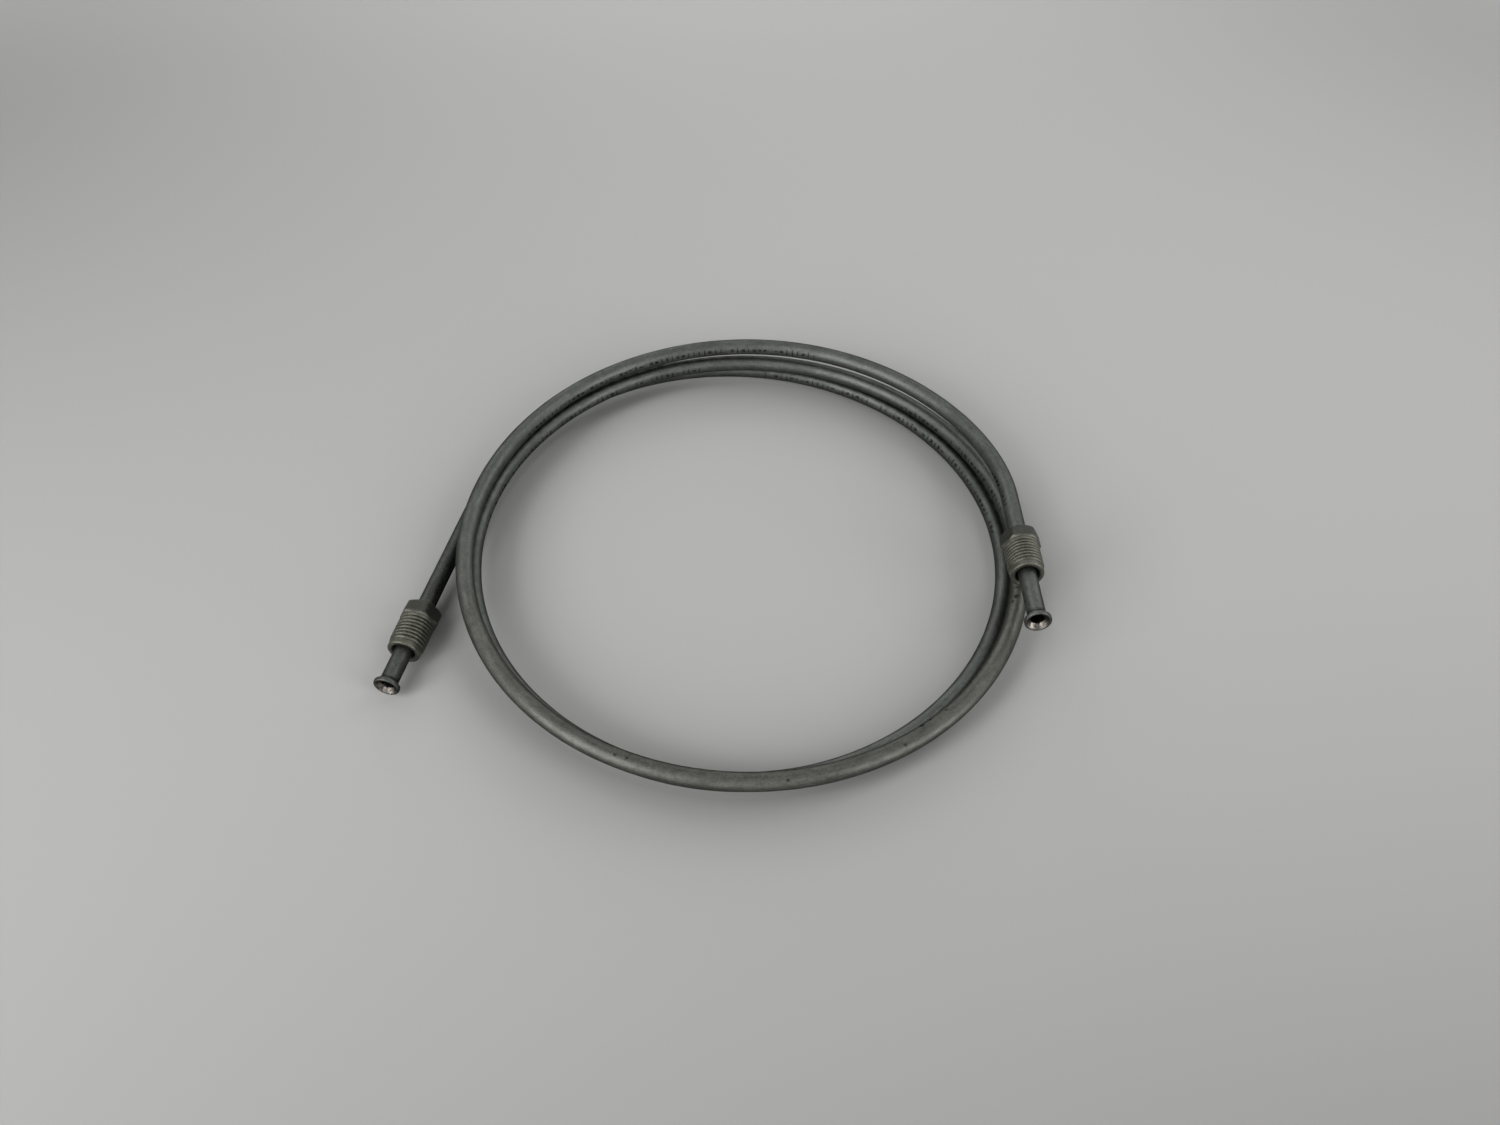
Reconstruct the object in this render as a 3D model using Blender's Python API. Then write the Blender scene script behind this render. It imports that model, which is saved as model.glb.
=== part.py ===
"""Brake line: one steel tube coiled about two and a half turns, a nut loose near each flared end.

Lengths are in metres, +Z is up and the coil lies flat on z = 0. The origin is under the
middle of the box around the whole line.
"""

import math

import bmesh
import bpy
import numpy as np

MM = 0.001

# The tube is 3/16 inch line with a 0.028 inch wall.
TUBE_OD = 4.7625 * MM
TUBE_WALL = 0.711 * MM

# Neighbouring turns never come closer than this, surface to surface.
TURN_GAP = 0.35 * MM
LAY = TUBE_OD + TURN_GAP
RING_RADIUS = 76.0 * MM

# The flare on each end: a folded rim between two cones of 45 degrees.
FLARE_OD = 6.95 * MM
FLARE_ROUND = 0.42 * MM
FLARE_LAND = 0.40 * MM

# The nut: a hexagon behind, a threaded body in front of it, a plain nose. The hexagon's
# corners are turned off at both ends: behind down to a round face that is this share of
# the width over the flats, in front down to a narrow shoulder around the thread.
HEX_ACROSS_FLATS = 9.525 * MM
HEX_LENGTH = 4.5 * MM
HEX_CHAMFER_FACE = 0.90
HEX_CHAMFER_DEG = 40.0
HEX_FRONT_EDGE = 0.05 * MM
SHOULDER = 0.05 * MM
NUT_LENGTH = 14.5 * MM
THREAD_OD = 9.4 * MM
NOSE_OD = 8.8 * MM
NOSE_LENGTH = 1.5 * MM
NOSE_CHAMFER = 0.35 * MM
SEAT_MOUTH = 6.8 * MM
NUT_BORE_CLEARANCE = 0.3 * MM
BORE_EDGE = 0.25 * MM

# The coil as it lies. The turn angle starts at the left, runs over the back, the right
# and the front, and ends at the right. OUT is how far the centreline is outside
# RING_RADIUS and UP how far it is above a tube that lies on the floor, both in LAYs.
# The first UP is missing: the left end lies at the height of its nut's flat.
TURN_DEG = (10,) + tuple(range(45, 856, 45)) + (893,)
OUT_LAYS = (
    0.79, 0.82, 0.49, -0.07, -0.49, -0.75, -0.68,
    -0.39, -0.13, -0.06, 0.0, 0.09, 0.16, 0.12,
    -0.02, 0.05, 0.08, 0.12, 0.13, 0.02, -0.20,
)
UP_LAYS = (
    0.43, 0.23, 0.06, 0.0, 0.0, 0.18,
    0.57, 0.89, 1.17, 1.20, 1.06, 0.93, 0.95,
    1.25, 1.54, 1.87, 2.18, 2.38, 2.57, 2.76,
)
LEFT_SPLAY_DEG = 1.6
RIGHT_SPLAY_DEG = -7.3
RIGHT_RISE_DEG = 4.5

# Straight ends, measured from where the bending stops.
LEFT_STRAIGHT = 61.8 * MM
RIGHT_STRAIGHT = 46.6 * MM
LEFT_NUT_BACK = 36.1 * MM
RIGHT_NUT_BACK = 15.8 * MM

# How finely the solids are cut.
TUBE_SIDES = 16
COIL_STEPS = 150
NUT_SIDES = 36


def spline(knots, values, first_slope, last_slope, at):
    """Cubic spline through values at knots, with its slope given at both ends."""
    step = np.diff(knots)
    rise = np.diff(values) / step
    count = len(knots)
    matrix = np.eye(count)
    right = np.zeros(count)
    right[0] = first_slope
    right[-1] = last_slope
    for i in range(1, count - 1):
        matrix[i, i - 1] = step[i]
        matrix[i, i] = 2 * (step[i - 1] + step[i])
        matrix[i, i + 1] = step[i - 1]
        right[i] = 3 * (step[i] * rise[i - 1] + step[i - 1] * rise[i])
    slope = np.linalg.solve(matrix, right)
    i = np.clip(np.searchsorted(knots, at, side="right") - 1, 0, count - 2)
    u = (at - knots[i]) / step[i]
    return (
        (2 * u**3 - 3 * u**2 + 1) * values[i]
        + (u**3 - 2 * u**2 + u) * step[i] * slope[i]
        + (3 * u**2 - 2 * u**3) * values[i + 1]
        + (u**3 - u**2) * step[i] * slope[i + 1]
    )


def coil_centreline(turn):
    """Points of the coil at turn angles in radians, about the ring's own centre."""
    knots = np.radians(TURN_DEG)
    radius = RING_RADIUS + LAY * np.array(OUT_LAYS)
    lowest = TUBE_OD / 2
    height = np.append(HEX_ACROSS_FLATS / 2, lowest + LAY * np.array(UP_LAYS))
    r = spline(
        knots,
        radius,
        -radius[0] * math.tan(math.radians(LEFT_SPLAY_DEG)),
        radius[-1] * math.tan(math.radians(RIGHT_SPLAY_DEG)),
        turn,
    )
    z = spline(
        knots, height, 0.0, radius[-1] * math.tan(math.radians(RIGHT_RISE_DEG)), turn
    )
    bearing = math.pi - turn
    return np.stack(
        [r * np.cos(bearing), r * np.sin(bearing), np.maximum(z, lowest)], axis=1
    )


def unit(vectors):
    return vectors / np.linalg.norm(vectors, axis=-1, keepdims=True)


def frames(tangents):
    """The level cross direction and the one above it for each tangent."""
    side = unit(np.cross(tangents, [0.0, 0.0, 1.0]))
    return side, np.cross(side, tangents)


def flare_profile():
    """Outside and inside of a flared end as (distance behind its front, radius) pairs."""
    bore = TUBE_OD / 2 - TUBE_WALL
    rim = FLARE_OD / 2
    front = []
    for degrees in (-45, 0, 45, 90):
        a = math.radians(degrees)
        front.append(
            (
                FLARE_ROUND * (1 - math.cos(a)),
                rim - FLARE_ROUND + FLARE_ROUND * math.sin(a),
            )
        )
    half = FLARE_ROUND * math.sin(math.radians(45))
    back = (FLARE_ROUND + FLARE_LAND + half, rim - FLARE_ROUND + half)
    foot = (back[0] + back[1] - TUBE_OD / 2, TUBE_OD / 2)
    outside = front + [(FLARE_ROUND + FLARE_LAND, rim), back, foot]
    mouth = front[0]
    inside = [(mouth[0] + mouth[1] - bore, bore)]
    return outside, inside


def loft(name, rings, smooth_deg):
    """A closed mesh through rings of points, the last ring joined to the first."""
    shape = bmesh.new()
    loops = [[shape.verts.new(point) for point in ring] for ring in rings]
    for loop, after in zip(loops, loops[1:] + loops[:1]):
        for i in range(len(loop)):
            shape.faces.new((loop[i - 1], loop[i], after[i], after[i - 1]))
    mesh = bpy.data.meshes.new(name)
    shape.to_mesh(mesh)
    shape.free()
    mesh.shade_smooth()
    mesh.set_sharp_from_angle(angle=math.radians(smooth_deg))
    return mesh


def tube_rows():
    """Rings of the whole tube, outside from left to right, then back through the bore."""
    turn = np.linspace(math.radians(TURN_DEG[0]), math.radians(TURN_DEG[-1]), COIL_STEPS + 1)
    coil = coil_centreline(turn)
    nudge = 1e-4
    tangents = unit(
        coil_centreline(np.minimum(turn + nudge, turn[-1]))
        - coil_centreline(np.maximum(turn - nudge, turn[0]))
    )
    outside, inside = flare_profile()
    bore = TUBE_OD / 2 - TUBE_WALL

    def end_rows(start, outward, travel, length, profile):
        points = [start + outward * (length - behind) for behind, _ in profile]
        return np.array(points), np.tile(travel, (len(profile), 1)), [r for _, r in profile]

    left, right = tangents[0], tangents[-1]
    parts = [
        end_rows(coil[0], -left, left, LEFT_STRAIGHT, outside),
        (coil, tangents, [TUBE_OD / 2] * len(coil)),
        end_rows(coil[-1], right, right, RIGHT_STRAIGHT, outside[::-1]),
        end_rows(coil[-1], right, right, RIGHT_STRAIGHT, inside),
        (coil[::-1], tangents[::-1], [bore] * len(coil)),
        end_rows(coil[0], -left, left, LEFT_STRAIGHT, inside),
    ]
    centres = np.concatenate([part[0] for part in parts])
    along = np.concatenate([part[1] for part in parts])
    radii = np.concatenate([part[2] for part in parts])
    side, above = frames(along)
    angle = np.arange(TUBE_SIDES) * 2 * math.pi / TUBE_SIDES
    spread = (
        np.cos(angle)[None, :, None] * side[:, None, :]
        - np.sin(angle)[None, :, None] * above[:, None, :]
    )
    rows = centres[:, None, :] + radii[:, None, None] * spread
    return rows, (coil[0], -left), (coil[-1], right)


def nut_rows():
    """Rings of a nut around +Z from its hexagon to its nose, then back through the bore."""
    angle = np.arange(NUT_SIDES) * 2 * math.pi / NUT_SIDES
    hexagon = HEX_ACROSS_FLATS / 2 / np.cos(angle % (math.pi / 3) - math.pi / 6)
    circle = np.ones(NUT_SIDES)
    lean = math.tan(math.radians(HEX_CHAMFER_DEG))
    face = HEX_CHAMFER_FACE * HEX_ACROSS_FLATS / 2
    bore = TUBE_OD / 2 + NUT_BORE_CLEARANCE
    thread = THREAD_OD / 2
    nose = NOSE_OD / 2
    front = np.minimum(hexagon, thread + SHOULDER)
    profile = [
        (0.0 * circle, face * circle),
        ((hexagon - face) * lean, hexagon),
        (HEX_LENGTH - HEX_FRONT_EDGE - (hexagon - front) * lean, hexagon),
        (HEX_LENGTH * circle, front),
        (HEX_LENGTH * circle, thread * circle),
        ((NUT_LENGTH - NOSE_LENGTH - (thread - nose)) * circle, thread * circle),
        ((NUT_LENGTH - NOSE_LENGTH) * circle, nose * circle),
        ((NUT_LENGTH - NOSE_CHAMFER) * circle, nose * circle),
        (NUT_LENGTH * circle, (nose - NOSE_CHAMFER) * circle),
        (NUT_LENGTH * circle, SEAT_MOUTH / 2 * circle),
        ((NUT_LENGTH - (SEAT_MOUTH / 2 - bore)) * circle, bore * circle),
        (BORE_EDGE * circle, bore * circle),
        (0.0 * circle, (bore + BORE_EDGE) * circle),
    ]
    return np.array(
        [
            np.stack([r * np.cos(angle), r * np.sin(angle), z], axis=1)
            for z, r in profile
        ]
    )


def steel(name, colour, roughness):
    material = bpy.data.materials.new(name)
    material.use_nodes = True
    shader = material.node_tree.nodes["Principled BSDF"]
    shader.inputs["Base Color"].default_value = (*colour, 1.0)
    shader.inputs["Metallic"].default_value = 1.0
    shader.inputs["Roughness"].default_value = roughness
    return material


def add_object(name, mesh, material):
    mesh.materials.append(material)
    thing = bpy.data.objects.new(name, mesh)
    bpy.context.scene.collection.objects.link(thing)
    return thing


def add_nut(name, mesh, origin, outward, material):
    """Places a nut with its axis along outward and one flat facing down."""
    side, above = frames(outward)
    thing = add_object(name, mesh, material)
    placed = np.eye(4)
    placed[:3, 0] = side
    placed[:3, 1] = -above
    placed[:3, 2] = outward
    placed[:3, 3] = origin
    thing.matrix_world = placed.T.tolist()
    return thing


for old in list(bpy.data.objects):
    bpy.data.objects.remove(old, do_unlink=True)

rows, (left_start, left_out), (right_start, right_out) = tube_rows()
low = rows.min(axis=(0, 1))
high = rows.max(axis=(0, 1))
middle = np.array([(low[0] + high[0]) / 2, (low[1] + high[1]) / 2, 0.0])

add_object(
    "brake_tube",
    loft("brake_tube", rows - middle, 50),
    steel("galvanised_steel", (0.24, 0.25, 0.23), 0.42),
)
for name, start, outward, back in (
    ("tube_nut_left", left_start, left_out, LEFT_NUT_BACK),
    ("tube_nut_right", right_start, right_out, RIGHT_NUT_BACK),
):
    add_nut(
        name,
        loft(name, nut_rows(), 25),
        start + outward * back - middle,
        outward,
        steel(name + "_zinc_plate", (0.42, 0.41, 0.36), 0.38),
    )
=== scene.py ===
"""A coiled brake line: its looks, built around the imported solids."""

import math

import bpy
import numpy as np
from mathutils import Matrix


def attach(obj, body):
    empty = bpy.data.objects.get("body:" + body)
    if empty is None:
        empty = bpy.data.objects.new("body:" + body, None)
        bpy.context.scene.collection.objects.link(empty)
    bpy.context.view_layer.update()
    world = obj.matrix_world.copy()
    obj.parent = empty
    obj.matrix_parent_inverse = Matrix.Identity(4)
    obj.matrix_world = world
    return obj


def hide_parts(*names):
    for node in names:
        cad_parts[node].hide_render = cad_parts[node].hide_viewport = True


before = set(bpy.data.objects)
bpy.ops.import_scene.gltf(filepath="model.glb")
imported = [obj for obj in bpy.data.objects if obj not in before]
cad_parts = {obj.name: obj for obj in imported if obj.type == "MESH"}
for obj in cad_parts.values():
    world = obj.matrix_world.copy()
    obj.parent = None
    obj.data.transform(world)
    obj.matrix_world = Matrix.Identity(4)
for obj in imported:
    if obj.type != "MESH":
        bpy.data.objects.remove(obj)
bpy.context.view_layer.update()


# The view: a phone held above and in front of the coil, looking steeply down at a pale
# table. Its lens and its place were worked out from the coil's own outline.
MM = 0.001
SENSOR_WIDTH = 36.0
FOCAL_LENGTH = 27.04
PHONE_PLACE = (9.58 * MM, -208.34 * MM, 246.34 * MM)
PHONE_TILT_DEG = 39.91

lens = bpy.data.cameras.new("phone")
lens.sensor_width = SENSOR_WIDTH
lens.lens = FOCAL_LENGTH
phone = bpy.data.objects.new("phone", lens)
phone.location = PHONE_PLACE
phone.rotation_euler = (math.radians(PHONE_TILT_DEG), 0.0, 0.0)
bpy.context.scene.collection.objects.link(phone)
bpy.context.scene.camera = phone
bpy.context.scene.view_settings.view_transform = "Standard"


# The table: a matt pale grey sheet, wide enough to fill every view. It is stage, not
# part of the object. Its grey is painted a little lighter and darker over the sheet, as
# painted light and shade, it carries a painted shadow close around the coil, and far off
# it runs into the pale room without an edge.
TABLE_GREY = "b3b3b1"
ROOM_GREY = "b1b2b1"
TABLE_SIDE = 6.0
TABLE_SQUARES = 120
TABLE_DROP = 0.02 * MM
TONED_X, TONED_Y = (-0.36, 0.36), (-0.15, 0.34)
RING_RADIUS = 76.0
RING_CENTRE = (7.69 * MM, -1.34 * MM, 0.0)
# The painted shadow around the coil: its darkest share and how far it reaches.
PAINTED_SHADOW_SHARE, PAINTED_SHADOW_REACH = 0.30, 8.5 * MM
FADE_START, FADE_END = 0.36, 0.66
EVEN_PART = 0.15
FIBRES_PER_METRE = 900.0
FIBRE_HEIGHT = 0.2 * MM


def linear(code):
    """An sRGB hex colour as linear RGBA."""
    parts = [int(code[i : i + 2], 16) / 255 for i in (0, 2, 4)]
    return tuple(((c + 0.055) / 1.055) ** 2.4 if c > 0.04045 else c / 12.92 for c in parts) + (1.0,)


def node(tree, kind, inputs, **settings):
    """Adds a node with its settings, and sets or links its inputs.

    The inputs are a list in the node's own order, or a dict by name or number. A node
    among them is linked by its first output.
    """
    made = tree.nodes.new(kind)
    for name, value in settings.items():
        setattr(made, name, value)
    for key, value in inputs.items() if isinstance(inputs, dict) else enumerate(inputs):
        if isinstance(value, bpy.types.Node):
            value = value.outputs[0]
        if isinstance(value, bpy.types.NodeSocket):
            tree.links.new(value, made.inputs[key])
        else:
            made.inputs[key].default_value = value
    return made


def new_material(name):
    """An empty material, its node tree and its Principled shader."""
    material = bpy.data.materials.new(name)
    material.use_nodes = True
    return material, material.node_tree, material.node_tree.nodes["Principled BSDF"]


def keep_values(mesh, name, values):
    """Keeps a number for each point in the mesh, for its material to read."""
    kept = mesh.attributes.new(name, "FLOAT", "POINT")
    kept.data.foreach_set("value", values.astype(np.float32).reshape(-1))


def painted_sheet_light(x, y):
    """Painted light and shade: share of the sheet's grey at x, y in metres.

    A cubic of the place in decimetres, held still outside the view.
    """
    x = 10 * np.clip(x, *TONED_X)
    y = 10 * np.clip(y, *TONED_Y)
    even = 0.997 + 0.0144 * x + 0.0484 * y - 0.0022 * x**2 + 0.0343 * x * y - 0.0350 * y**2
    return even - 0.0010 * x**3 - 0.0077 * x**2 * y - 0.0098 * x * y**2 + 0.0090 * y**3


paper, tree, shader = new_material("matt_table_paper")
place = node(tree, "ShaderNodeTexCoord", []).outputs["Object"]
seen = node(tree, "ShaderNodeLightPath", []).outputs["Is Camera Ray"]
# Painted light and shade: the sheet's grey is made lighter and darker across it.
painted_light_drift = node(tree, "ShaderNodeAttribute", [], attribute_name="tone").outputs["Fac"]

# Painted shadow close around the coil, which only the camera sees: the grey's share there is 1 less the
# shadow's share times exp(-distance from the ring / the shadow's reach).
to_centre = node(tree, "ShaderNodeVectorMath", [place, RING_CENTRE], operation="DISTANCE").outputs["Value"]
past_ring = node(tree, "ShaderNodeMath", [to_centre, RING_RADIUS * MM], operation="SUBTRACT")
off_ring = node(tree, "ShaderNodeMath", [past_ring], operation="ABSOLUTE")
reaches = node(tree, "ShaderNodeMath", [off_ring, -PAINTED_SHADOW_REACH], operation="DIVIDE")
closeness = node(tree, "ShaderNodeMath", [reaches], operation="EXPONENT")
painted_shadow = node(tree, "ShaderNodeMath", [closeness, PAINTED_SHADOW_SHARE], operation="MULTIPLY")
painted_shadow_seen = node(tree, "ShaderNodeMath", [painted_shadow, seen], operation="MULTIPLY")
unshadowed = node(tree, "ShaderNodeMath", [1.0, painted_shadow_seen], operation="SUBTRACT")
tone = node(tree, "ShaderNodeMath", [painted_light_drift, unshadowed], operation="MULTIPLY")
grey = linear(TABLE_GREY)[:3]
toned = node(tree, "ShaderNodeVectorMath", {0: grey, "Scale": tone}, operation="SCALE")
tree.links.new(toned.outputs[0], shader.inputs["Base Color"])
shader.inputs["Roughness"].default_value = 0.85
shader.inputs["Specular IOR Level"].default_value = 0.1
fibres = node(tree, "ShaderNodeTexNoise", {"Vector": place, "Scale": FIBRES_PER_METRE, "Detail": 3.0})
bump = node(tree, "ShaderNodeBump", {"Strength": 0.03, "Distance": FIBRE_HEIGHT, "Height": fibres})
tree.links.new(bump.outputs["Normal"], shader.inputs["Normal"])

# Far off, the camera sees the room's own colour in place of the sheet.
from_middle = node(tree, "ShaderNodeVectorMath", [place], operation="LENGTH").outputs["Value"]
far_off = node(
    tree, "ShaderNodeMapRange", [from_middle, FADE_START, FADE_END], interpolation_type="SMOOTHSTEP"
)
far_seen = node(tree, "ShaderNodeMath", [far_off, seen], operation="MULTIPLY")
room = node(tree, "ShaderNodeEmission", {"Color": linear(ROOM_GREY)})
merged = node(tree, "ShaderNodeMixShader", [far_seen, shader, room])
tree.links.new(merged.outputs[0], tree.nodes["Material Output"].inputs["Surface"])

# The sheet's squares are small around the coil, where its painted light and shade change, and large far off.
spread = np.linspace(-1, 1, TABLE_SQUARES + 1)
ruling = TABLE_SIDE / 2 * (EVEN_PART * spread + (1 - EVEN_PART) * spread**5)
east, north = np.meshgrid(ruling, ruling)
row_step = TABLE_SQUARES + 1
first = (np.arange(TABLE_SQUARES)[:, None] * row_step + np.arange(TABLE_SQUARES)).reshape(-1)
sheet = bpy.data.meshes.new("table")
sheet.from_pydata(
    np.stack([east, north, 0 * east], axis=-1).reshape(-1, 3).tolist(),
    [],
    np.stack([first, first + 1, first + row_step + 1, first + row_step], axis=1).tolist(),
)
keep_values(sheet, "tone", painted_sheet_light(east, north))
sheet.materials.append(paper)
table = bpy.data.objects.new("table", sheet)
bpy.context.scene.collection.objects.link(table)
table.location = (0, 0, -TABLE_DROP)


# The light: a pale room, which the camera and the metal see, and a dome of broad soft
# lamps that light everything, strongest on the left in front of the coil. Bearings run
# from the right over the back, as seen from above.
LAMP_DISTANCE = 1.2
LAMP_WIDTH, LAMP_DEPTH = 0.55, 0.5
# Each lamp's name, bearing and lift above the table in degrees, and watts.
LAMPS = (
    ("low_back_right", 45, 12, 1.2),
    ("low_back", 100, 12, 2.3),
    ("low_left", 222, 12, 3.9),
    ("low_front", 268, 12, 2.2),
    ("low_right", 328, 12, 4.6),
    ("right", 31, 35, 2.1),
    ("back_right", 72, 35, 1.0),
    ("back", 108, 35, 0.9),
    ("back_left", 144, 35, 1.1),
    ("front_left", 216, 35, 6.7),
    ("front", 252, 35, 0.9),
    ("front_right", 324, 35, 3.0),
    ("high_right", 22, 60, 1.2),
    ("high_back", 135, 60, 0.8),
    ("high_left", 205, 60, 2.1),
)

world = bpy.data.worlds.new("pale_room")
bpy.context.scene.world = world
world.use_nodes = True
backdrop = world.node_tree.nodes["Background"]
backdrop.inputs["Color"].default_value = linear(ROOM_GREY)
rays = node(world.node_tree, "ShaderNodeLightPath", []).outputs
shown = rays["Is Camera Ray"]
for ray in ("Is Glossy Ray", "Is Transmission Ray"):
    shown = node(world.node_tree, "ShaderNodeMath", [shown, rays[ray]], operation="MAXIMUM")
world.node_tree.links.new(shown.outputs[0], backdrop.inputs["Strength"])


def soft_lamp(name, bearing, lift, watts):
    """A rectangular lamp on the dome at a bearing and lift in radians, facing its middle."""
    lamp = bpy.data.lights.new(name, "AREA")
    lamp.shape = "RECTANGLE"
    lamp.size = LAMP_WIDTH
    lamp.size_y = LAMP_DEPTH
    lamp.energy = watts
    holder = bpy.data.objects.new(name, lamp)
    bpy.context.scene.collection.objects.link(holder)
    level = math.cos(lift)
    away = np.array([math.cos(bearing) * level, math.sin(bearing) * level, math.sin(lift)])
    beside = np.cross([0.0, 1.0, 0.0], away)
    beside /= np.linalg.norm(beside)
    turned = np.eye(4)
    turned[:3] = np.stack([beside, np.cross(away, beside), away, LAMP_DISTANCE * away], axis=1)
    holder.matrix_world = turned.T.tolist()


for name, bearing_deg, lift_deg, watts in LAMPS:
    soft_lamp(name, math.radians(bearing_deg), math.radians(lift_deg), watts)


# The tube: 3/16 inch steel line, rolled and brazed from strip and coated with a dull
# zinc and aluminium layer. It is coiled about two and a half turns by the maker, and
# its two ends are left straight and flared, the nuts on them.
TUBE_OD = 4.7625
TUBE_WALL = 0.711
TURN_GAP = 0.35
LAY = TUBE_OD + TURN_GAP
HEX_ACROSS_FLATS = 9.525
# Sizes are in mm. Turns count from the left, over the back first, and lie on each other
# without quite touching. At each angle: how far out past the ring's radius the tube
# lies and, from the second angle on, how high over a turn on the table, both in lays.
# The left end lies as high as its nut holds it.
TURN_DEG = (10,) + tuple(range(45, 856, 45)) + (893,)
OUT_LAYS = (
    0.79, 0.82, 0.49, -0.07, -0.49, -0.75, -0.60,
    -0.39, -0.13, -0.06, 0.0, 0.09, 0.16, 0.12,
    -0.02, 0.05, 0.08, 0.12, 0.13, 0.02, -0.20,
)
UP_LAYS = (
    0.43, 0.23, 0.06, 0.0, 0.0, 0.18,
    0.57, 0.89, 1.17, 1.20, 1.06, 0.93, 0.95,
    1.25, 1.54, 1.87, 2.18, 2.38, 2.57, 2.76,
)
LEFT_SPLAY_DEG, RIGHT_SPLAY_DEG, RIGHT_RISE_DEG = 1.6, -7.3, 4.5
LEFT_STRAIGHT, RIGHT_STRAIGHT = 61.8, 46.6
FLARE_OD, FLARE_ROUND, FLARE_LAND = 6.95, 0.42, 0.40
FLARE_BLEND = 0.25
COIL_STEPS = 1100
STEM_ROWS = 38
FLARE_ROWS = 13
CONE_ROWS = 8
INSIDE_STEP = 4
TUBE_SIDES = 40


def spline(knots, values, first_slope, last_slope, at):
    """Cubic spline through values at knots, with its slope given at both ends.

    The inner slopes are those that make the curve bend alike on both sides of a knot.
    """
    step = np.diff(knots)
    rise = np.diff(values) / step
    matrix = np.eye(len(knots))
    inner = np.arange(1, len(knots) - 1)
    matrix[inner, inner - 1] = step[1:]
    matrix[inner, inner] = 2 * (step[:-1] + step[1:])
    matrix[inner, inner + 1] = step[:-1]
    middle = 3 * (step[1:] * rise[:-1] + step[:-1] * rise[1:])
    slope = np.linalg.solve(matrix, np.concatenate([[first_slope], middle, [last_slope]]))
    i = np.clip(np.searchsorted(knots, at, side="right") - 1, 0, len(step) - 1)
    u = (at - knots[i]) / step[i]
    return (
        (2 * u**3 - 3 * u**2 + 1) * values[i]
        + (u**3 - 2 * u**2 + u) * step[i] * slope[i]
        + (3 * u**2 - 2 * u**3) * values[i + 1]
        + (u**3 - u**2) * step[i] * slope[i + 1]
    )


def coil_centreline(turn):
    """Middle of the coiled tube at turn angles in radians, in mm about the ring's own centre.

    Distance from the centre and height are splines of the turn angle.
    """
    knots = np.radians(TURN_DEG)
    radius = RING_RADIUS + LAY * np.array(OUT_LAYS)
    height = np.append(HEX_ACROSS_FLATS / 2, TUBE_OD / 2 + LAY * np.array(UP_LAYS))
    slopes = [math.tan(math.radians(a)) for a in (LEFT_SPLAY_DEG, RIGHT_SPLAY_DEG, RIGHT_RISE_DEG)]
    r = spline(knots, radius, -radius[0] * slopes[0], radius[-1] * slopes[1], turn)
    z = spline(knots, height, 0.0, radius[-1] * slopes[2], turn)
    return np.stack([-r * np.cos(turn), r * np.sin(turn), np.maximum(z, TUBE_OD / 2)], axis=1)


def unit(vectors):
    """The vectors divided by their own lengths."""
    return vectors / np.linalg.norm(vectors, axis=-1, keepdims=True)


def level_frames(tangents):
    """The level cross direction and the one above it for each tangent."""
    side = unit(np.cross(tangents, [0.0, 0.0, 1.0]))
    return side, np.cross(side, tangents)


def flare_outside(points):
    """Outside of a flared end from its mouth to the plain tube, as (distance behind the front, radius).

    A rim rounded with FLARE_ROUND between two cones of 45 degrees, the back one running
    out into the tube in a shallow curve.
    """
    centre = FLARE_OD / 2 - FLARE_ROUND
    front = np.radians(np.linspace(-45, 90, points))
    back = np.radians(np.linspace(90, 135, points // 3))
    behind = FLARE_ROUND * np.concatenate([1 - np.cos(front), 1 - np.cos(back)])
    behind[points:] += FLARE_LAND
    radius = centre + FLARE_ROUND * np.concatenate([np.sin(front), np.sin(back)])
    drop = radius[-1] - TUBE_OD / 2
    fillet = np.linspace(0, 1, 7)[1:]
    behind = np.append(behind, behind[-1] + drop * fillet * (1 + FLARE_BLEND * fillet))
    radius = np.append(radius, radius[-1] - drop * fillet * (1 + FLARE_BLEND - FLARE_BLEND * fillet))
    return behind, radius


def straight_rows(start, out, length, distances_behind):
    """Middle of a straight end at distances behind its front: start + out * (length - distance)."""
    return start + out * (length - np.asarray(distances_behind))[:, None]


def grid_object(name, rows, material):
    """A mesh through rows of points, closed around each row and from the last to the first.

    The face after point (row, column) joins it to the next row and the next column.
    """
    count, sides, _ = rows.shape
    row, column = np.meshgrid(np.arange(count), np.arange(sides), indexing="ij")
    after = (row + 1) % count
    beside = (column + 1) % sides
    corners = np.stack(
        [row * sides + column, row * sides + beside, after * sides + beside, after * sides + column],
        axis=-1,
    ).reshape(-1)
    mesh = bpy.data.meshes.new(name)
    mesh.vertices.add(count * sides)
    mesh.vertices.foreach_set("co", rows.reshape(-1))
    mesh.loops.add(len(corners))
    mesh.loops.foreach_set("vertex_index", corners)
    mesh.polygons.add(len(corners) // 4)
    mesh.polygons.foreach_set("loop_start", np.arange(0, len(corners), 4))
    mesh.update(calc_edges=True)
    mesh.validate()
    mesh.shade_smooth()
    mesh.materials.append(material)
    made = bpy.data.objects.new(name, mesh)
    bpy.context.scene.collection.objects.link(made)
    return made


# The coil, and its heading taken from two points a nudge apart.
NUDGE = 1e-4
turn = np.linspace(math.radians(TURN_DEG[0]), math.radians(TURN_DEG[-1]), COIL_STEPS + 1)
coil = coil_centreline(turn)
ahead = coil_centreline(np.minimum(turn + NUDGE, turn[-1]))
heading = unit(ahead - coil_centreline(np.maximum(turn - NUDGE, turn[0])))
left_start, left_out = coil[0], -heading[0]
right_start, right_out = coil[-1], heading[-1]

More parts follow.
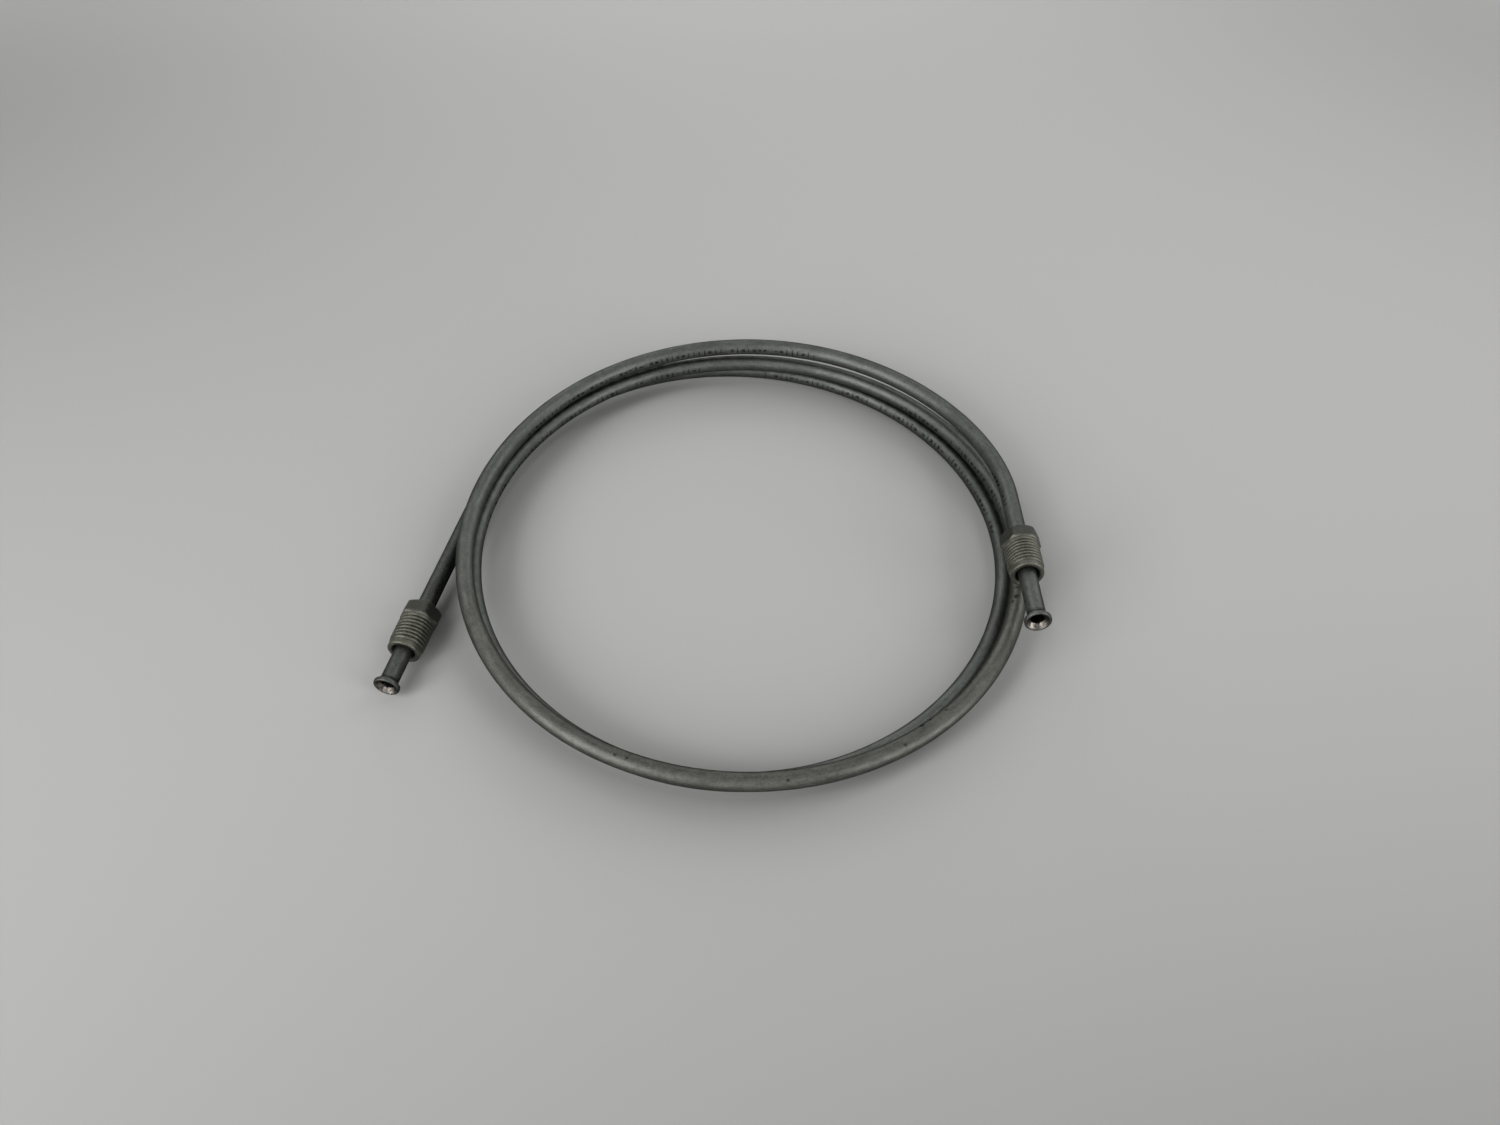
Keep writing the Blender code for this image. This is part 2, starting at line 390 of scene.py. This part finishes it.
# Rows of the skin: the outside from the left mouth to the right one, the right cone, the
# bore back to the left, and the left cone.
BORE = TUBE_OD / 2 - TUBE_WALL
behind, flare_radius = flare_outside(FLARE_ROWS)
cone_depth = flare_radius[0] - BORE
cone = np.linspace(0, 1, CONE_ROWS + 1)[1:]
cone_behind = behind[0] + cone_depth * cone
cone_radius = flare_radius[0] - cone_depth * cone
stem = np.linspace(0, 1, STEM_ROWS + 2)[1:-1]
left_stem = behind[-1] + (LEFT_STRAIGHT - behind[-1]) * stem
right_stem = behind[-1] + (RIGHT_STRAIGHT - behind[-1]) * stem
inside_coil = coil[::-INSIDE_STEP]
centres = np.concatenate(
    [
        straight_rows(left_start, left_out, LEFT_STRAIGHT, np.append(behind, left_stem)),
        coil,
        straight_rows(right_start, right_out, RIGHT_STRAIGHT, np.append(behind, right_stem)[::-1]),
        straight_rows(right_start, right_out, RIGHT_STRAIGHT, cone_behind),
        inside_coil,
        straight_rows(left_start, left_out, LEFT_STRAIGHT, cone_behind[::-1]),
    ]
)
end_rows = len(behind) + STEM_ROWS
outer_count = end_rows + len(coil) + end_rows
headings = np.concatenate(
    [
        np.tile(heading[0], (end_rows, 1)),
        heading,
        np.tile(heading[-1], (end_rows + CONE_ROWS, 1)),
        heading[::-INSIDE_STEP],
        np.tile(heading[0], (CONE_ROWS, 1)),
    ]
)
radii = np.concatenate(
    [
        flare_radius,
        np.full(STEM_ROWS + len(coil) + STEM_ROWS, TUBE_OD / 2),
        flare_radius[::-1],
        cone_radius,
        np.full(len(inside_coil), BORE),
        cone_radius[::-1],
    ]
)
side, above = level_frames(headings)
around = np.linspace(0, 2 * math.pi, TUBE_SIDES, endpoint=False)
spoke = np.cos(around)[None, :, None] * side[:, None] - np.sin(around)[None, :, None] * above[:, None]
tube_points = centres[:, None] + radii[:, None, None] * spoke
low, high = tube_points.min(axis=(0, 1)), tube_points.max(axis=(0, 1))
middle = np.array([(low[0] + high[0]) / 2, (low[1] + high[1]) / 2, 0.0])

# How far along the tube each row lies, how polished its metal is and how dark: the
# pressed cones in the two mouths are bright, their rims less so, and the bore is painted
# near black as painted shade.
RIM_ROWS = 4
RIM_POLISH = 0.3
right_cone = slice(outer_count, outer_count + CONE_ROWS)
left_cone = slice(len(centres) - CONE_ROWS, len(centres))
run = np.append(0.0, np.cumsum(np.linalg.norm(np.diff(centres, axis=0), axis=1)))
run[outer_count:] = 0.0
run[right_cone] = -cone_behind
run[left_cone] = -cone_behind[::-1]
polish = np.zeros(len(centres))
polish[right_cone] = polish[left_cone] = 1.0
polish[0] = polish[outer_count - 1] = 1.0
polish[1 : 1 + RIM_ROWS] = polish[outer_count - 1 - RIM_ROWS : outer_count - 1] = RIM_POLISH
# Painted shade: the bore is painted near black.
bore_shade = np.zeros(len(centres))
bore_shade[right_cone.stop - 1 : left_cone.start + 1] = 1.0

# Painted shade, mottled, lies where turns come close together and thinly on the inner
# top of the front. The left end is darker too: a little all round, with grime, and most on
# its inner side, as painted shade. A dark band lies in the crease behind each flare, and
# along the front the coat is painted a lighter, warmer grey, as painted light. Runs are in
# mm from the left mouth. A stretch is (start, fade in, end, fade out) of the run, and a
# side is (direction, narrowness), its direction in degrees around the tube, 0 on the inner
# side and -90 on top.
OWN_TURN = 60.0
CLOSE_SHADE, CLOSE_REACH, CLOSE_FULL, CLOSE_POWER = 0.85, 1.7, 0.25, 1.3
LEFT_END_RUN, LEFT_END_FADE, NUT_RUN, BEFORE_NUT = 78.0, 14.0, 27.0, 0.55
LEFT_END_SHADED_SIDE, LEFT_END_ALL_ROUND, LEFT_END_SIDE_SHADE = (-10.0, 2.2), 0.12, 0.78
FRONT_SHADE, FRONT_SHADED_SIDE = 0.34, (-52.0, 2)
FRONT_STRETCH = (800.0, 30.0, 970.0, 40.0)
FRONT_LIGHT_STRETCH = (740.0, 40.0, 1000.0, 40.0)
CREASE_DARKNESS, CREASE_PLACE, CREASE_WIDTH = 0.75, 2.1, 0.5
angle = np.degrees(around)[None, :]


def stretch(start, fade_in, end, fade_out):
    """1 over a stretch of the run and 0 outside it, with a straight fade inside both ends."""
    return np.clip((run - start) / fade_in, 0, 1) * np.clip((end - run) / fade_out, 0, 1)


def facing(direction, narrowness):
    """1 where the tube's side faces a direction, 0 behind it: a raised cosine to a power."""
    return (0.5 + 0.5 * np.cos(np.radians(angle - direction))) ** narrowness


# Painted shade where turns come close together: how near each point of the skin lies to another turn.
outer = tube_points[:outer_count].reshape(-1, 3).astype(np.float32)
others = centres[:outer_count:4].astype(np.float32)
squared = (outer**2).sum(axis=1)[:, None] + (others**2).sum(axis=1)[None] - 2 * outer @ others.T
own_turn = np.abs(np.repeat(run[:outer_count], TUBE_SIDES)[:, None] - run[:outer_count:4][None]) < OWN_TURN
squared[own_turn] = 1e6
to_turn = (np.sqrt(np.maximum(squared.min(axis=1), 0)) - TUBE_OD / 2).reshape(outer_count, TUBE_SIDES)
shade_and_grime = np.zeros((len(centres), TUBE_SIDES))
shade_and_grime[:outer_count] = CLOSE_SHADE * np.clip(1 + CLOSE_FULL - to_turn / CLOSE_REACH, 0, 1) ** CLOSE_POWER
# The left end: a little grime all round and painted shade most on its inner side, weaker from the mouth up
# to the nut.
left_end_shade = np.clip((LEFT_END_RUN - run) / LEFT_END_FADE, 0, 1) * (run > 0)
left_end_shade *= np.where(run > NUT_RUN, 1.0, BEFORE_NUT)
shade_and_grime = np.maximum(shade_and_grime, left_end_shade[:, None] * (LEFT_END_ALL_ROUND + LEFT_END_SIDE_SHADE * facing(*LEFT_END_SHADED_SIDE)))
# Painted shade, thin, on the inner top of the front turn.
shade_and_grime = np.maximum(shade_and_grime, FRONT_SHADE * stretch(*FRONT_STRETCH)[:, None] * facing(*FRONT_SHADED_SIDE))
# A dark band in the crease behind each flare.
from_end = np.minimum(run, run[outer_count - 1] - run) * (run > 0)
crease = np.exp(-(((from_end - CREASE_PLACE) / CREASE_WIDTH) ** 2))
shade_and_grime = np.maximum(shade_and_grime, CREASE_DARKNESS * crease[:, None])
# Painted light: the stretch along the front of the coil where the coat is painted lighter and warmer.
front_painted_light = stretch(*FRONT_LIGHT_STRETCH)

# Worn ink marks: plain bars, dots and dashes in short rows, along a line that wanders
# over the inner side of the coil. Each row is (start, end, first direction, last one).
MARK_PITCH = 1.8
MARK_ROWS = (
    (178.0, 286.0, -8.0, -38.0),
    (526.0, 627.0, 2.0, -4.0),
    (696.0, 751.0, 2.0, -28.0),
    (1042.0, 1147.0, -4.0, -12.0),
    (1222.0, 1241.0, -4.0, -36.0),
)
FAR_ACROSS = 4.0
ends = [end for row in MARK_ROWS for end in row[:2]]
row_angle = np.interp(run, ends, [end for row in MARK_ROWS for end in row[2:]])[:, None]
across_row = TUBE_OD / 2 * np.radians((angle - row_angle + 180) % 360 - 180)
across_row = np.clip(across_row, -FAR_ACROSS, FAR_ACROSS)
in_row = sum((run >= start) & (run <= end) for start, end, *_ in MARK_ROWS).astype(float)

# The coat: zinc and aluminium, left dull, so it shines softly and darkens towards the
# tube's edges. Its patterns change so many times in a mm, around the tube and along it:
# streaks from rolling, cloudy stains, blotches, and a grain that is drawn coarser than it
# is, so that it shows. The last three are for the ink and the pressed cones.
# The second grey is painted light, a lighter and warmer coat for the front of the coil; the second black is
# painted shade for the bore.
COAT_GREY, FRONT_LIT_GREY, COAT_EDGE = "565855", "5b5b57", "888888"
INK_BLACK, BORE_SHADE_BLACK = "1b1d1b", "171614"
CONE_STAIN, CONE_BRIGHT = "3c3834", "84807a"
COAT_ROUGHNESS, CONE_ROUGHNESS = (0.44, 0.56), 0.34
GRAIN_HEIGHT = 0.06 * MM
# Around, along, detail, roughness.
PATTERNS = {
    "streaks": (1.3, 0.12, 5.0, 0.6),
    "clouds": (0.30, 0.13, 3.0, 0.6),
    "blotches": (0.9, 0.55, 4.0, 0.65),
    "grain": (2.8, 2.2, 4.0, 0.7),
    "wobble": (1.1, 1.1, 2.0, 0.5),
    "wear": (1.4, 1.4, 3.0, 0.6),
    "pressing": (1.1, 1.6, 4.0, 0.7),
}
# The part of a pattern's range that is used, either way of its middle, and its contrast.
TONES = {"streaks": (0.20, 0.10), "clouds": (0.20, 0.14), "blotches": (0.18, 0.16), "grain": (0.18, 0.25)}

coating, tree, shader = new_material("dull_zinc_aluminium_coating")
unrolled = node(tree, "ShaderNodeAttribute", [], attribute_name="unrolled_mm").outputs["Vector"]
# Among these are the bore's painted shade, the painted shade with some grime, and the painted light along
# the front.
polished, bore_shaded, off_row, here, shade_and_grime_share, front_lit = (
    node(tree, "ShaderNodeAttribute", [], attribute_name=name).outputs["Fac"]
    for name in ("polish", "bore_shade", "across_row_mm", "in_row", "shade_and_grime", "front_painted_light")
)
pattern = {}
for name, (per_mm_around, per_mm_along, detail, roughness) in PATTERNS.items():
    per_mm = (per_mm_around, per_mm_around, per_mm_along)
    scaled = node(tree, "ShaderNodeVectorMath", [unrolled, per_mm], operation="MULTIPLY")
    pattern[name] = node(
        tree,
        "ShaderNodeTexNoise",
        {"Vector": scaled, "Scale": 1.0, "Detail": detail, "Roughness": roughness},
    )

# Painted shade, with some grime on the left end: the coat darkens by its share, mottled by the grain.
shade_mottle = node(tree, "ShaderNodeMapRange", [pattern["grain"], 0.35, 0.65, 0.95, 0.65])
hidden = node(tree, "ShaderNodeMath", [shade_and_grime_share, shade_mottle], operation="MULTIPLY")
tone = node(tree, "ShaderNodeMath", [1.0, hidden], operation="SUBTRACT")
for name, (half, contrast) in TONES.items():
    limits = [0.5 - half, 0.5 + half, 1 - contrast, 1 + contrast]
    share = node(tree, "ShaderNodeMapRange", [pattern[name], *limits])
    tone = node(tree, "ShaderNodeMath", [tone, share], operation="MULTIPLY")

# Ink: one bar, dot or dash in each step of MARK_PITCH, or none, with random sizes in mm
# across the row and in steps along it. The wobble sets them unevenly.
DASH_OVER, BLANK_UNDER = 0.62, 0.04
WORD_STEPS = 3.0
DOT_HALF, DASH_EXTRA = 0.11, 0.20
LOW_MARK, HIGH_MARK, DASH_FLATTER = 0.6, 0.95, 0.38
STEP_WOBBLE, ROW_WOBBLE = 0.35, 0.8
SIDE_BLUR, TOP_BLUR = 0.05, 0.1
along = node(tree, "ShaderNodeSeparateXYZ", [unrolled]).outputs[2]
even_step = node(tree, "ShaderNodeMath", [along, MARK_PITCH], operation="DIVIDE")
step_at = node(tree, "ShaderNodeMath", [pattern["wobble"], STEP_WOBBLE, even_step], operation="MULTIPLY_ADD")
step_number = node(tree, "ShaderNodeMath", [step_at], operation="FLOOR")
word_at = node(tree, "ShaderNodeMath", [step_at, WORD_STEPS], operation="DIVIDE")
word_number = node(tree, "ShaderNodeMath", [word_at], operation="FLOOR")
chance = node(tree, "ShaderNodeTexWhiteNoise", {"W": step_number}, noise_dimensions="1D")
word = node(tree, "ShaderNodeTexWhiteNoise", {"W": word_number}, noise_dimensions="1D")
kinds = node(tree, "ShaderNodeSeparateXYZ", [chance.outputs["Color"]])
is_dash = node(tree, "ShaderNodeMath", [kinds.outputs[0], DASH_OVER], operation="GREATER_THAN")
odds = node(tree, "ShaderNodeMath", [chance, word], operation="MULTIPLY")
printed = node(tree, "ShaderNodeMath", [odds, BLANK_UNDER], operation="GREATER_THAN")

in_step = node(tree, "ShaderNodeMath", [step_at], operation="FRACT")
off_middle = node(tree, "ShaderNodeMath", [in_step, 0.5], operation="SUBTRACT")
from_middle = node(tree, "ShaderNodeMath", [off_middle], operation="ABSOLUTE")
half_long = node(tree, "ShaderNodeMath", [is_dash, DASH_EXTRA, DOT_HALF], operation="MULTIPLY_ADD")
past_long = node(tree, "ShaderNodeMath", [from_middle, half_long], operation="SUBTRACT")
in_long = node(tree, "ShaderNodeMapRange", [past_long, -SIDE_BLUR, SIDE_BLUR, 1.0, 0.0])

half_bar = node(tree, "ShaderNodeMapRange", [kinds.outputs[1], 0.0, 1.0, LOW_MARK, HIGH_MARK])
half_tall = node(tree, "ShaderNodeMath", [is_dash, -DASH_FLATTER, half_bar], operation="MULTIPLY_ADD")
lean = node(tree, "ShaderNodeMath", [pattern["wobble"], 0.5], operation="SUBTRACT")
leaning = node(tree, "ShaderNodeMath", [lean, ROW_WOBBLE, off_row], operation="MULTIPLY_ADD")
from_row = node(tree, "ShaderNodeMath", [leaning], operation="ABSOLUTE")
past_tall = node(tree, "ShaderNodeMath", [from_row, half_tall], operation="SUBTRACT")
in_tall = node(tree, "ShaderNodeMapRange", [past_tall, -TOP_BLUR, TOP_BLUR, 1.0, 0.0])

wear = node(tree, "ShaderNodeMapRange", [pattern["wear"], 0.40, 0.62, 0.95, 0.5])
marks = here
for share in (in_long, in_tall, printed, wear):
    marks = node(tree, "ShaderNodeMath", [marks, share], operation="MULTIPLY")

# Dark specks of dirt lie here and there, softened by the grain: (run, direction, radius).
SPECKS = (
    (913.1, -104.0, 0.34),
    (871.5, -122.0, 0.36),
    (841.5, -112.0, 0.44),
    (831.5, -42.0, 0.55),
    (834.5, -50.0, 0.62),
    (826.5, -62.0, 0.4),
    (910.0, -98.0, 0.3),
    (782.9, -66.0, 0.6),
    (784.6, -50.0, 0.5),
    (779.6, -62.0, 0.4),
)
SPECK_DARKNESS, SPECK_EDGE, SPECK_RAGGED = 0.8, 0.5, 0.5
for speck_run, direction, size in SPECKS:
    turned = math.radians(direction)
    at = (TUBE_OD / 2 * math.cos(turned), TUBE_OD / 2 * math.sin(turned), speck_run)
    far = node(tree, "ShaderNodeVectorMath", [unrolled, at], operation="DISTANCE").outputs["Value"]
    uneven = node(tree, "ShaderNodeMath", [pattern["grain"], SPECK_RAGGED, far], operation="MULTIPLY_ADD")
    limits = [size, size + SPECK_EDGE, SPECK_DARKNESS, 0.0]
    speck = node(tree, "ShaderNodeMapRange", [uneven, *limits])
    marks = node(tree, "ShaderNodeMath", [marks, speck], operation="MAXIMUM")

# Each layer covers the one below it by its share. In a Mix node of colours, input 6 is
# the one below, 7 the one above, and output 2 what shows.
# Painted light: along the front of the coil the coat is mixed towards a lighter, warmer grey.
front_lit_coat = node(
    tree, "ShaderNodeMix", {0: front_lit, 6: linear(COAT_GREY), 7: linear(FRONT_LIT_GREY)}, data_type="RGBA"
).outputs[2]
coat = node(tree, "ShaderNodeVectorMath", {0: front_lit_coat, "Scale": tone}, operation="SCALE").outputs[0]
pressing = node(tree, "ShaderNodeMapRange", [pattern["pressing"], 0.4, 0.65, 0.0, 1.0])
pressed = node(
    tree, "ShaderNodeMix", {0: pressing, 6: linear(CONE_STAIN), 7: linear(CONE_BRIGHT)}, data_type="RGBA"
).outputs[2]
colour = coat
# The last layer is painted shade: the bore painted near black.
for share, layer in ((marks, linear(INK_BLACK)), (polished, pressed), (bore_shaded, linear(BORE_SHADE_BLACK))):
    colour = node(tree, "ShaderNodeMix", {0: share, 6: colour, 7: layer}, data_type="RGBA").outputs[2]
tree.links.new(colour, shader.inputs["Base Color"])
shader.inputs["Metallic"].default_value = 1.0
shader.inputs["Specular Tint"].default_value = linear(COAT_EDGE)
coat_rough = node(tree, "ShaderNodeMapRange", [pattern["grain"], 0.3, 0.7, *COAT_ROUGHNESS])
rough = node(tree, "ShaderNodeMix", {0: polished, 2: coat_rough, 3: CONE_ROUGHNESS})
tree.links.new(rough.outputs[0], shader.inputs["Roughness"])
relief = node(
    tree, "ShaderNodeBump", {"Strength": 0.4, "Distance": GRAIN_HEIGHT, "Height": pattern["grain"]}
)
tree.links.new(relief.outputs["Normal"], shader.inputs["Normal"])

# The patterns lie on the tube as if it were straight: around its circle, and along its run.
coated_tube = grid_object("coated_tube", (tube_points - middle) * MM, coating)
straightened = np.empty((len(centres), TUBE_SIDES, 3), dtype=np.float32)
straightened[..., 0] = TUBE_OD / 2 * np.cos(around)
straightened[..., 1] = TUBE_OD / 2 * np.sin(around)
straightened[..., 2] = run[:, None]
unrolled_mm = coated_tube.data.attributes.new("unrolled_mm", "FLOAT_VECTOR", "POINT")
unrolled_mm.data.foreach_set("vector", straightened.reshape(-1))
# Among these are the bore's painted shade, the painted shade with some grime, and the painted light along
# the front.
for name, values in (
    ("polish", polish[:, None]),
    ("bore_shade", bore_shade[:, None]),
    ("shade_and_grime", shade_and_grime),
    ("front_painted_light", front_painted_light[:, None]),
    ("across_row_mm", across_row),
    ("in_row", in_row[:, None]),
):
    keep_values(coated_tube.data, name, np.broadcast_to(values, shade_and_grime.shape))
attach(coated_tube, "line")
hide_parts("brake_tube")


# The two nuts: turned from hexagon bar steel, threaded 3/8-24 and zinc plated, then
# slipped over the tube before its ends are flared. They slide and turn freely.
HEX_LENGTH = 4.5
HEX_FACE = 0.90 * HEX_ACROSS_FLATS / 2
HEX_CHAMFER_DEG = 40.0
HEX_ROUND = 0.18
NUT_LENGTH = 14.5
THREAD_OD = 9.4
THREAD_PITCH = 25.4 / 24
THREAD_DEPTH = 0.50
THREAD_ROWS = 130
# Shares of half a pitch, and the lengths over which the thread runs in and out.
THREAD_ROOT, THREAD_FLANK = 0.16, 0.62
THREAD_START, RUN_IN, RUN_OUT = 0.1, 0.7, 0.8
NOSE_OD = 8.8
NOSE_LENGTH = 1.5
NOSE_CHAMFER = 0.35
NOSE_TAPER = 0.9
EDGE = 0.05
SEAT_MOUTH = 6.8
NUT_BORE = TUBE_OD / 2 + 0.3
BORE_EDGE = 0.25
LEFT_NUT_BACK, RIGHT_NUT_BACK = 36.1, 15.8
NUT_SIDES = 144
SMOOTH_UNDER_DEG = 40.0


def smooth_step(x):
    """0 below 0, 1 above 1, and 3 x squared - 2 x cubed between them."""
    x = np.clip(x, 0, 1)
    return x * x * (3 - 2 * x)


def thread_radius(z, angle, start, end):
    """Radius of the threaded shank at heights z and angles around.

    A trapezium wave of z / pitch - angle / turn, faded out at both ends, on a shank that
    narrows to the nose over its last NOSE_TAPER.
    """
    wave = np.abs(((z / THREAD_PITCH - angle / (2 * math.pi)) % 1) - 0.5) * 2
    height = smooth_step((wave - THREAD_ROOT) / THREAD_FLANK)
    fade = smooth_step((z - start) / RUN_IN) * smooth_step((end + EDGE - z) / RUN_OUT)
    top = THREAD_OD / 2 - (THREAD_OD - NOSE_OD) / 2 * smooth_step((z - end + NOSE_TAPER) / NOSE_TAPER)
    return top - THREAD_DEPTH * fade * (1 - height)


def nut_rows():
    """Points, heights and radii of a nut's rings around +Z.

    They run from the hexagon's back face to the nose and back through the bore. The
    angles crowd at the hexagon's six corners, which are rounded with HEX_ROUND.
    """
    even = np.linspace(0, 2 * math.pi, NUT_SIDES, endpoint=False)
    angle = even - 0.75 * np.sin(6 * even) / 6
    off_flat = (angle % (math.pi / 3)) - math.pi / 6
    from_corner = (math.pi / 6 - np.abs(off_flat)) * HEX_ACROSS_FLATS / math.sqrt(3)
    rounding = HEX_ROUND / 2 * np.exp(-((from_corner / (HEX_ROUND * 1.6)) ** 2))
    hexagon = HEX_ACROSS_FLATS / 2 / np.cos(off_flat) - rounding
    lean = math.tan(math.radians(HEX_CHAMFER_DEG))
    thread, nose, mouth = THREAD_OD / 2, NOSE_OD / 2, SEAT_MOUTH / 2
    shoulder = thread + EDGE
    cut = np.maximum(hexagon - HEX_FACE, 0.02) * lean
    front = HEX_LENGTH - EDGE - np.maximum(hexagon - shoulder, 0) * lean
    up = np.array([0.06, 0.35, 0.65, 0.95])[:, None]
    flat = np.linspace(0.08, 1, 6)[:, None]
    down = np.array([0.06, 0.5, 0.94])[:, None]
    start, end = HEX_LENGTH + THREAD_START, NUT_LENGTH - NOSE_LENGTH
    shank = np.linspace(start, end, THREAD_ROWS)[:, None]
    round_off = np.linspace(0.15, 1, 5)[:, None] * math.pi / 2
    countersink = (mouth - NUT_BORE) * np.array([0.1, 0.5, 0.95])[:, None]
    # Each stretch of rings, as heights and radii.
    stretches = (
        (0.0, NUT_BORE + BORE_EDGE),
        (0.0, HEX_FACE - 0.06),
        (0.012, HEX_FACE - 0.02),
        (cut * up + 0.02, HEX_FACE + (hexagon - HEX_FACE) * up),
        (cut + 0.07, hexagon),
        ((cut + 0.07) * (1 - flat) + (front - EDGE) * flat, hexagon),
        (front + 0.01 + (HEX_LENGTH - front - 0.01) * down, hexagon + (shoulder - hexagon) * down),
        (HEX_LENGTH, thread - EDGE),
        (shank, thread_radius(shank, angle, start, end)),
        (np.linspace(end + 0.1, NUT_LENGTH - NOSE_CHAMFER, 6)[:, None], nose),
        (
            NUT_LENGTH - NOSE_CHAMFER * (1 - np.sin(round_off)),
            nose - NOSE_CHAMFER * (1 - np.cos(round_off)),
        ),
        (NUT_LENGTH, mouth + 0.1),
        (NUT_LENGTH - 0.03, mouth + 0.02),
        (NUT_LENGTH - EDGE - countersink, mouth - countersink),
        (np.linspace(NUT_LENGTH - (mouth - NUT_BORE) - 0.1, BORE_EDGE, 8)[:, None], NUT_BORE),
    )
    circle = np.ones((1, NUT_SIDES))
    z, radius = np.concatenate([np.broadcast_arrays(z, r, circle)[:2] for z, r in stretches], axis=1)
    return np.stack([radius * np.cos(angle), radius * np.sin(angle), z], axis=-1), z, radius


# The plating: zinc on steel, turned and then dulled by handling. It is lightest on the
# thread's crests and the nose's rim, darker in the grooves and on the hexagon, and
# painted near black inside as painted shade. Blotches and grit change so many times in
# a metre.
CREST_GREY, GROOVE_GREY = "606058", "484841"
HEXAGON_GREY, INSIDE_SHADE_GREY = "40413c", "242320"
BLOTCHES_PER_METRE, GRIT_PER_METRE = 500.0, 2600.0
BLOTCH_TONES, GRIT_TONES = (0.82, 1.16), (0.74, 1.26)
PLATE_ROUGHNESS = (0.42, 0.56)
GRIT_HEIGHT = 0.06 * MM
plate, tree, shader = new_material("zinc_plated_turned_steel")
place = node(tree, "ShaderNodeTexCoord", []).outputs["Object"]
hexed, grooved, inside_shade = (
    node(tree, "ShaderNodeAttribute", [], attribute_name=name).outputs["Fac"]
    for name in ("hexagon", "groove", "inside")
)
blotch, grit = (
    node(tree, "ShaderNodeTexNoise", {"Vector": place, "Scale": scale, "Detail": detail, "Roughness": 0.6})
    for scale, detail in ((BLOTCHES_PER_METRE, 4.0), (GRIT_PER_METRE, 3.0))
)
colour = linear(CREST_GREY)
for share, layer in ((grooved, GROOVE_GREY), (hexed, HEXAGON_GREY), (inside_shade, INSIDE_SHADE_GREY)):
    colour = node(
        tree, "ShaderNodeMix", {0: share, 6: colour, 7: linear(layer)}, data_type="RGBA"
    ).outputs[2]
blotch_tone = node(tree, "ShaderNodeMapRange", [blotch, 0.3, 0.7, *BLOTCH_TONES])
grit_tone = node(tree, "ShaderNodeMapRange", [grit, 0.3, 0.7, *GRIT_TONES])
plate_tone = node(tree, "ShaderNodeMath", [blotch_tone, grit_tone], operation="MULTIPLY")
gritted = node(tree, "ShaderNodeVectorMath", {0: colour, "Scale": plate_tone}, operation="SCALE")
tree.links.new(gritted.outputs[0], shader.inputs["Base Color"])
shader.inputs["Metallic"].default_value = 1.0
plate_rough = node(tree, "ShaderNodeMapRange", [blotch, 0.3, 0.7, *PLATE_ROUGHNESS])
tree.links.new(plate_rough.outputs[0], shader.inputs["Roughness"])
plate_relief = node(tree, "ShaderNodeBump", {"Strength": 0.5, "Distance": GRIT_HEIGHT, "Height": grit})
tree.links.new(plate_relief.outputs["Normal"], shader.inputs["Normal"])

# Where each finish lies. The rim's share of groove is below nothing, so that it stays
# bare up to its edge.
RIM_GROOVE, SHANK_GROOVE, NOSE_GROOVE = -0.6, 1.0, 0.7
SHOULDER_SHARE, SHOULDER_FADE = 0.1, 0.3
FACE_DEPTH = 0.8
INSIDE_FADE, INSIDE_FROM = 0.5, 0.2
rings, along_axis, radius = nut_rows()
depth = (THREAD_OD / 2 - radius) / THREAD_DEPTH
off_shoulder = smooth_step((HEX_LENGTH - SHOULDER_FADE - along_axis) / SHOULDER_FADE)
hexagon_share = SHOULDER_SHARE + (1 - SHOULDER_SHARE) * off_shoulder
hexagon_share *= (along_axis <= HEX_LENGTH) * (depth < FACE_DEPTH)
past_hexagon = np.clip(depth, 0, 1) * (along_axis > HEX_LENGTH + EDGE)
on_rim = along_axis > NUT_LENGTH - NOSE_CHAMFER - 0.01
on_shank = along_axis < NUT_LENGTH - NOSE_LENGTH
groove_part = np.where(on_rim, RIM_GROOVE, np.where(on_shank, SHANK_GROOVE, NOSE_GROOVE))
groove_share = past_hexagon**0.7 * groove_part
# Painted shade: the nut is painted dark inside its seat's mouth and bore.
inside_share = smooth_step((SEAT_MOUTH / 2 + 0.02 - radius) / INSIDE_FADE) * (along_axis > INSIDE_FROM)

for name, body, solid, start, out, back in (
    ("left_tube_nut", "left_nut", "tube_nut_left", left_start, left_out, LEFT_NUT_BACK),
    ("right_tube_nut", "right_nut", "tube_nut_right", right_start, right_out, RIGHT_NUT_BACK),
):
    across, up = level_frames(out)
    placed = (
        start + out * back - middle
        + rings[..., 0:1] * across
        - rings[..., 1:2] * up
        + rings[..., 2:3] * out
    )
    nut = grid_object(name, placed * MM, plate)
    nut.data.set_sharp_from_angle(angle=math.radians(SMOOTH_UNDER_DEG))
    for label, values in (("hexagon", hexagon_share), ("groove", groove_share), ("inside", inside_share)):
        keep_values(nut.data, label, values)
    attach(nut, body)
    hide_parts(solid)
